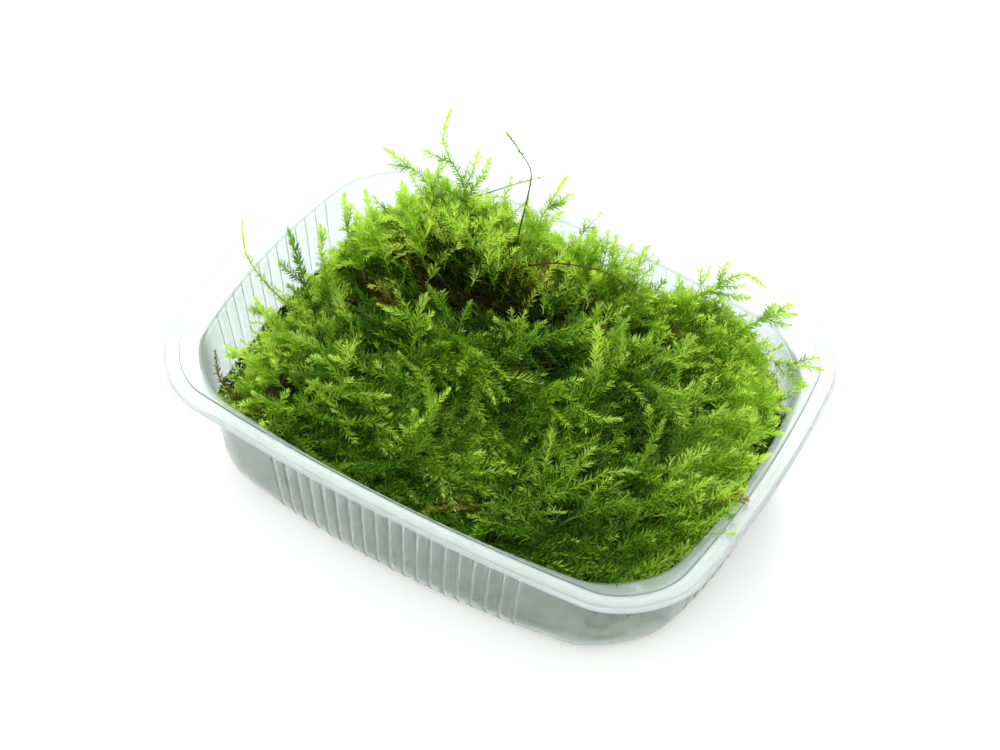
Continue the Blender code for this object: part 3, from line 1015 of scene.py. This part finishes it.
def leaves_on(batch, settings, rng, crowding):
    """All leaves of a batch: their corners, triangles and places on the leaf map."""
    corners, faces = leaf_shape()
    lengths = path_lengths(batch.paths)
    counts = np.maximum((lengths * (1 - batch.bare) * crowding / settings.leaf_spacing).astype(int), 4)
    rows = np.repeat(np.arange(len(counts)), counts)
    order = np.arange(len(rows)) - np.repeat(np.cumsum(counts) - counts, counts)
    bare = batch.bare[rows]
    share = bare + (1 - bare) * (order + rng.uniform(0, 0.6, len(rows))) / counts[rows]
    share = np.clip(share, 0, 0.995)
    root, ahead = along_path(batch.paths, rows, share)
    side = unit(np.cross(batch.face[rows], ahead))
    upper = np.cross(ahead, side)
    turn = np.array([0.1, math.pi - 0.1, 0.25, math.pi - 0.25, 0.5 * math.pi])[order % 5]
    turn = turn + rng.normal(0, 0.2, len(rows))
    outward = side * np.cos(turn)[:, None] + upper * np.sin(turn)[:, None]
    opening = rng.normal(0.95, 0.14, len(rows)) * (1 - 0.62 * share**6)
    aim = unit(ahead * np.cos(opening)[:, None] + outward * np.sin(opening)[:, None])
    around = unit(np.cross(ahead, outward))
    across = unit(around + np.cross(aim, around) * rng.normal(0, 0.4, len(rows))[:, None])
    normal = np.cross(aim, across)
    size = settings.leaf_length * batch.leaf[rows] * rng.uniform(0.8, 1.15, len(rows))
    size *= np.clip(1.25 - 0.75 * share**5, 0.2, 1.0) * np.clip(0.55 + 3 * share, 0, 1)
    width = settings.leaf_width * batch.leaf[rows] * rng.uniform(0.8, 1.2, len(rows))
    points = (
        root[:, None]
        + aim[:, None] * (corners[:, 0] * size[:, None])[:, :, None]
        + across[:, None] * (corners[:, 1] * width[:, None])[:, :, None]
        + normal[:, None] * (corners[:, 2] * width[:, None])[:, :, None]
    )
    tone = batch.tone[rows] * (0.72 + 0.28 * share) + 0.16 * share**4 + rng.normal(0, 0.03, len(rows))
    tone = tone[:, None] + corners[:, 0] * 0.06 - 0.03
    warmth = batch.warmth[rows][:, None] + corners[:, 1] * 0.02
    uv = np.stack([tone, warmth], 2).clip(0.01, 0.99)
    triangles = faces[None] + (np.arange(len(rows)) * len(corners))[:, None, None]
    return points.reshape(-1, 3), triangles.reshape(-1, 3), uv.reshape(-1, 2)


def stems_of(batch, settings):
    """Three-sided stems of a batch, closed at both ends."""
    paths = batch.paths
    count, stations = paths.shape[:2]
    ahead = unit(np.gradient(paths, axis=1))
    side = unit(np.cross(batch.face[:, None], ahead))
    upper = np.cross(ahead, side)
    radius = settings.stem_radius * batch.radius[:, None] * np.linspace(1.0, 0.35, stations)
    rings = []
    for corner in range(3):
        turn = math.tau * corner / 3
        rings.append(paths + (side * math.cos(turn) + upper * math.sin(turn)) * radius[:, :, None])
    points = np.stack(rings, 2).reshape(-1, 3)
    faces = []
    for station in range(stations - 1):
        for corner in range(3):
            a = station * 3 + corner
            b = station * 3 + (corner + 1) % 3
            faces += [(a, b, b + 3), (a, b + 3, a + 3)]
    last = 3 * (stations - 1)
    faces += [(2, 1, 0), (last, last + 1, last + 2)]
    faces = np.array(faces)[None] + (np.arange(count) * stations * 3)[:, None, None]
    share = np.linspace(0, 1, stations)[None, :, None]
    tone = (batch.tone[:, None, None] * (0.62 + 0.3 * share)).repeat(3, 2)
    spread = np.array([0.0, 0.01, -0.01])
    uv = np.stack([tone + spread, (batch.warmth[:, None, None] * 0.8 + 0.2 + spread + 0 * tone)], 3)
    return points, faces.reshape(-1, 3), uv.reshape(-1, 2).clip(0.01, 0.99)


def place_moss(name, slot, node, batch, settings, rng, material, crowding=1.0):
    """One piece of a batch's leaves and stems, with its leaf map."""
    points, faces, uv = leaves_on(batch, settings, rng, crowding)
    stem_points, stem_faces, stem_uv = stems_of(batch, settings)
    faces = np.concatenate([faces, stem_faces + len(points)])
    points = push_inside(np.concatenate([points, stem_points]), LEAF_GAP)
    uv = np.concatenate([uv, stem_uv])
    mesh = bpy.data.meshes.new(name)
    mesh.vertices.add(len(points))
    mesh.vertices.foreach_set("co", points.astype(np.float32).ravel())
    mesh.loops.add(faces.size)
    mesh.loops.foreach_set("vertex_index", faces.astype(np.int32).ravel())
    mesh.polygons.add(len(faces))
    mesh.polygons.foreach_set("loop_start", np.arange(0, faces.size, 3, dtype=np.int32))
    mesh.update(calc_edges=True)
    layer = mesh.uv_layers.new(name=LEAF_MAP)
    layer.uv.foreach_set("vector", uv[faces.ravel()].astype(np.float32).ravel())
    mesh.materials.append(material)
    place_piece(mesh, name, slot, node)


def smooth_route(points, steps):
    """Evenly spaced points on a smooth curve through a route's own points."""
    ends = [2 * points[0] - points[1], *points, 2 * points[-1] - points[-2]]
    route = []
    for before, start, end, after in zip(ends, ends[1:], ends[2:], ends[3:]):
        for t in np.linspace(0, 1, 12, endpoint=False):
            square = (2 * before - 5 * start + 4 * end - after) * t**2
            cube = (3 * start - before - 3 * end + after) * t**3
            route.append(0.5 * (2 * start + (end - before) * t + square + cube))
    route = np.array([*route, points[-1]])
    far = np.concatenate([[0], np.cumsum(np.linalg.norm(np.diff(route, axis=0), axis=1))])
    places = np.linspace(0, far[-1], steps)
    return np.stack([np.interp(places, far, route[:, axis]) for axis in range(3)], 1)


def rooted(points, steps):
    """One smooth stem on a route in mm, with its root drawn back into the heap."""
    route = mm(points)
    back = unit(route[0] - route[1]) * 0.006
    route = np.concatenate([[route[0] + back - np.array([0, 0, 0.002])], route])
    return smooth_route(route, steps)[None]


def with_side_shoots(batch, per_shoot, rng):
    """The batch together with its side shoots, whose stems have as many points."""
    side_shoots = branches(batch, per_shoot, rng)
    side_shoots.paths = np.stack([smooth_route(path, LONG_STATIONS) for path in side_shoots.paths])
    return joined([batch, side_shoots])


# ---------------------------------------------------------------- operators


class MOSSTUB_OT_tub(bpy.types.Operator):
    """Add the ribbed, milky plastic tub"""

    bl_idname = "mosstub.tub"
    bl_label = "Add Tub"

    def execute(self, context):
        make_tub(context.scene.moss_tub)
        return {"FINISHED"}


OLD_ROUGHNESS = 0.0006
OLD_SHOULDER = 0.02
OLD_SINK = 0.0075
OLD_FLOOR = 0.002
OLD_THIN_SIDE = 0.84


class MOSSTUB_OT_old_growth(bpy.types.Operator):
    """Add the dense old growth, whose near-black top is painted shade where the heap's dips show it"""

    bl_idname = "mosstub.old_growth"
    bl_label = "Add Old Growth"

    def execute(self, context):
        shape = bmesh.new()
        shape.from_mesh(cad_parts["moss_mat"].data)
        bmesh.ops.remove_doubles(shape, verts=shape.verts[:], dist=1e-5)
        bmesh.ops.recalc_face_normals(shape, faces=shape.faces[:])
        bmesh.ops.subdivide_edges(shape, edges=shape.edges[:], cuts=1, use_grid_fill=True)
        x, y, z = np.array([vertex.co for vertex in shape.verts]).T
        rng = np.random.default_rng(context.scene.moss.seed)
        rough = rng.uniform(-1, 1, (len(x), 3)) * OLD_ROUGHNESS
        sunk = np.where(z > OLD_SHOULDER, OLD_SINK + dip_at(x, y)[0], 0.0)
        shrink_x = np.where(x > 0, 0.97, OLD_THIN_SIDE)
        shrink_y = np.where(y < 0, 0.96, OLD_THIN_SIDE)
        places = np.column_stack([x * shrink_x, y * shrink_y, np.maximum(OLD_FLOOR, z - sunk)])
        for vertex, place, shift in zip(shape.verts, places, rough):
            vertex.co = Vector(place) + Vector(shift)
        mesh = bpy.data.meshes.new("moss_old_growth_and_shade")
        shape.to_mesh(mesh)
        shape.free()
        mesh.materials.append(old_growth_and_shade_material())
        place_piece(mesh, "moss_old_growth_and_shade", "moss", "moss_mat")
        return {"FINISHED"}


class MOSSTUB_OT_heap(bpy.types.Operator):
    """Grow the heap of leafy shoots, in beds from left to right"""

    bl_idname = "mosstub.heap"
    bl_label = "Grow Heap"

    def execute(self, context):
        settings = context.scene.moss
        rng = np.random.default_rng(settings.seed)
        tree = packed_mat()
        heap = heap_heights(tree)
        batches = [wall_shoots(tree, heap, settings.wall_shoots, rng)]
        for count, stretch, lengths, lifts in (
            (settings.young_shoots, YOUNG_EDGE, (7, 13), (0.15, 1.1)),
            (settings.tall_shoots, TALL_EDGE, (10, 17), (0.7, 1.3)),
        ):
            young = edge_shoots(heap, count, stretch, lengths, lifts, rng)
            batches += [young, branches(young, 2, rng)]
        for parts in LAYERS:
            layer = SimpleNamespace(**dict(zip(LAYER_PARTS, parts)))
            grown = heap_shoots(heap, layer, rng)
            batches += [grown, branches(grown, layer.side_shoots, rng)]
        batch = joined(batches)
        order = np.argsort(batch.paths[:, 0, 0])
        material = leaf_material("wet_moss", 0.38)
        for index, rows in enumerate(np.array_split(order, settings.beds)):
            name = f"moss_bed_{index + 1}"
            place_moss(name, "moss", "moss_mat", picked(batch, rows), settings, rng, material)
        return {"FINISHED"}


class MOSSTUB_OT_sweeps(bpy.types.Operator):
    """Lay the long shoots that sweep over the heap"""

    bl_idname = "mosstub.sweeps"
    bl_label = "Lay Sweeping Shoots"

    def execute(self, context):
        settings = context.scene.moss
        rng = np.random.default_rng(settings.seed + 4)
        heap = heap_heights(packed_mat())
        paths = []
        loft = SWEEP_LOFT * np.sin(math.pi * (0.1 + 0.75 * np.linspace(0, 1, LONG_STATIONS)))
        for points in SWEEPS:
            path = smooth_route(mm([(*point, 0.0) for point in points]), LONG_STATIONS)
            path[:, 2] = heap_top(heap, path[:, 0], path[:, 1]) + loft
            paths.append(paths_inside(path))
        paths = np.array(paths)
        count = len(paths)
        face = facing((0.2, -0.35, 1.0), 0.15, count, rng)
        tone = rng.normal(0.8, 0.06, count)
        long_shoots = shoots_of(paths, face, 1.1, tone, rng.uniform(0.1, 0.35, count), 1.4, 0.1)
        batch = with_side_shoots(long_shoots, 5, rng)
        material = leaf_material("sweeping_moss", 0.38)
        place_moss("moss_sweeps", "moss", "moss_mat", batch, settings, rng, material, 1.15)
        return {"FINISHED"}


class MOSSTUB_OT_shoots(bpy.types.Operator):
    """Add the leafy shoots that stand clear of the heap"""

    bl_idname = "mosstub.shoots"
    bl_label = "Add Clear Shoots"

    def execute(self, context):
        settings = context.scene.moss
        rng = np.random.default_rng(settings.seed + 1)
        material = leaf_material("young_moss", 0.4)
        for name, points in LEAFY_SHOOTS.items():
            face = facing(UPRIGHT_FACE, 0.2, 1, rng)
            tone = 0.64 if name == "shoot_dark" else 0.95
            shoot = shoots_of(rooted(points, LONG_STATIONS), face, 1.12, tone, 0.22, 1.1, 0.12)
            batch = with_side_shoots(shoot, 4, rng)
            place_moss(f"leafy_{name}", "moss", name, batch, settings, rng, material, 1.8)
        return {"FINISHED"}


class MOSSTUB_OT_stems(bpy.types.Operator):
    """Add the long stems that carry only a few leaves"""

    bl_idname = "mosstub.stems"
    bl_label = "Add Bare Stems"

    def execute(self, context):
        settings = context.scene.moss
        rng = np.random.default_rng(settings.seed + 2)
        material = leaf_material("old_stem", 0.45)
        for name, (points, (tone, warmth, bare)) in BARE_STEMS.items():
            face = facing(UPRIGHT_FACE, 0.2, 1, rng)
            batch = shoots_of(rooted(points, BARE_STATIONS), face, 0.9, tone, warmth, 1.5, bare)
            place_moss(f"bare_{name}", "moss_stem", name, batch, settings, rng, material)
        return {"FINISHED"}


class MOSSTUB_OT_scraps(bpy.types.Operator):
    """Add the scraps of moss that cling to the inside of the near wall"""

    bl_idname = "mosstub.scraps"
    bl_label = "Add Scraps"

    def execute(self, context):
        settings = context.scene.moss
        rng = np.random.default_rng(settings.seed + 3)
        scraps = np.array(SCRAPS, float)
        count = len(scraps)
        root = mm(np.column_stack([scraps[:, 0], np.full(count, PAST_NEAR_WALL), scraps[:, 1]]))
        lean = np.radians(scraps[:, 3])
        aim = np.column_stack([np.cos(lean), np.zeros(count), np.sin(lean)])
        paths = arcs(root, aim, rng.normal(0, 0.3, (count, 3)), scraps[:, 2] * MM)
        paths = push_inside(paths.reshape(-1, 3), LEAF_GAP).reshape(paths.shape)
        face = np.tile([0.0, -1.0, 0.0], (count, 1))
        batch = shoots_of(paths, face, 0.8, 0.72, 0.2, 1.0, 0.0)
        material = leaf_material("scrap_moss", 0.4)
        place_moss("moss_scraps", "moss", "moss_mat", batch, settings, rng, material)
        return {"FINISHED"}


# Where the camera looks on the level of the rim, and how wide each soft light is.
CAMERA_AIM = (0.00359, -0.00527)
LIGHT_SIZE = 0.5


class MOSSTUB_OT_stage(bpy.types.Operator):
    """Add the pale floor, the soft lights and the camera"""

    bl_idname = "mosstub.stage"
    bl_label = "Add Stage"

    def execute(self, context):
        settings = context.scene.moss_stage
        scene = context.scene
        scene.view_settings.view_transform = "Standard"
        shape = bmesh.new()
        bmesh.ops.create_grid(shape, x_segments=1, y_segments=1, size=3.0)
        bmesh.ops.translate(shape, verts=shape.verts[:], vec=(0, 0, TUB_LOW.z - 0.0002))
        mesh = bpy.data.meshes.new("floor")
        shape.to_mesh(mesh)
        shape.free()
        mesh.materials.append(floor_material(settings))
        floor = bpy.data.objects.new("floor", mesh)
        scene.collection.objects.link(floor)
        world = bpy.data.worlds.new("studio")
        world.use_nodes = True
        sky = world.node_tree.nodes["Background"]
        sky.inputs["Color"].default_value = (1.0, 1.0, 1.0, 1.0)
        sky.inputs["Strength"].default_value = settings.sky
        scene.world = world
        self.add_light(scene, "key_light", settings.key, (-0.25, 0.45, 0.55))
        self.add_light(scene, "fill_light", settings.fill, (0.1, -0.5, 0.6))
        self.add_camera(scene, settings)
        return {"FINISHED"}

    def add_light(self, scene, name, power, place):
        lamp = bpy.data.lights.new(name, "AREA")
        lamp.energy = power
        lamp.size = LIGHT_SIZE
        light = bpy.data.objects.new(name, lamp)
        light.location = place
        light.rotation_euler = (-Vector(place)).to_track_quat("-Z", "Y").to_euler()
        scene.collection.objects.link(light)

    def add_camera(self, scene, settings):
        aim = Vector((*CAMERA_AIM, RIM_TOP))
        flat = math.cos(settings.elevation)
        back = Vector(
            (
                math.sin(settings.azimuth) * flat,
                -math.cos(settings.azimuth) * flat,
                math.sin(settings.elevation),
            )
        )
        lens = bpy.data.cameras.new("camera")
        lens.lens = settings.lens
        lens.sensor_width = 36.0
        camera = bpy.data.objects.new("camera", lens)
        right = Vector((math.cos(settings.azimuth), math.sin(settings.azimuth), 0.0))
        turned = Matrix.Rotation(settings.roll, 3, back)
        right = turned @ right
        up = back.cross(right)
        rotation = Matrix((right, up, back)).transposed()
        camera.matrix_world = Matrix.Translation(aim + back * settings.distance) @ rotation.to_4x4()
        scene.collection.objects.link(camera)
        scene.camera = camera


class MOSSTUB_PT_panel(bpy.types.Panel):
    """The steps that build the moss tub"""

    bl_idname = "MOSSTUB_PT_panel"
    bl_label = "Moss Tub"
    bl_space_type = "VIEW_3D"
    bl_region_type = "UI"
    bl_category = "Moss Tub"

    def draw(self, context):
        for operator in OPERATORS:
            self.layout.operator(operator.bl_idname)


OPERATORS = (
    MOSSTUB_OT_tub,
    MOSSTUB_OT_old_growth,
    MOSSTUB_OT_heap,
    MOSSTUB_OT_sweeps,
    MOSSTUB_OT_shoots,
    MOSSTUB_OT_stems,
    MOSSTUB_OT_scraps,
    MOSSTUB_OT_stage,
)
CLASSES = (TubSettings, MossSettings, StageSettings, *OPERATORS, MOSSTUB_PT_panel)


def register():
    for made in CLASSES:
        bpy.utils.register_class(made)
    bpy.types.Scene.moss_tub = PointerProperty(type=TubSettings)
    bpy.types.Scene.moss = PointerProperty(type=MossSettings)
    bpy.types.Scene.moss_stage = PointerProperty(type=StageSettings)


def unregister():
    del bpy.types.Scene.moss_stage
    del bpy.types.Scene.moss
    del bpy.types.Scene.moss_tub
    for made in reversed(CLASSES):
        bpy.utils.unregister_class(made)


def main():
    register()
    bpy.ops.mosstub.tub()
    bpy.ops.mosstub.old_growth()
    bpy.ops.mosstub.heap()
    bpy.ops.mosstub.sweeps()
    bpy.ops.mosstub.shoots()
    bpy.ops.mosstub.stems()
    bpy.ops.mosstub.scraps()
    bpy.ops.mosstub.stage()


if __name__ == "__main__":
    main()
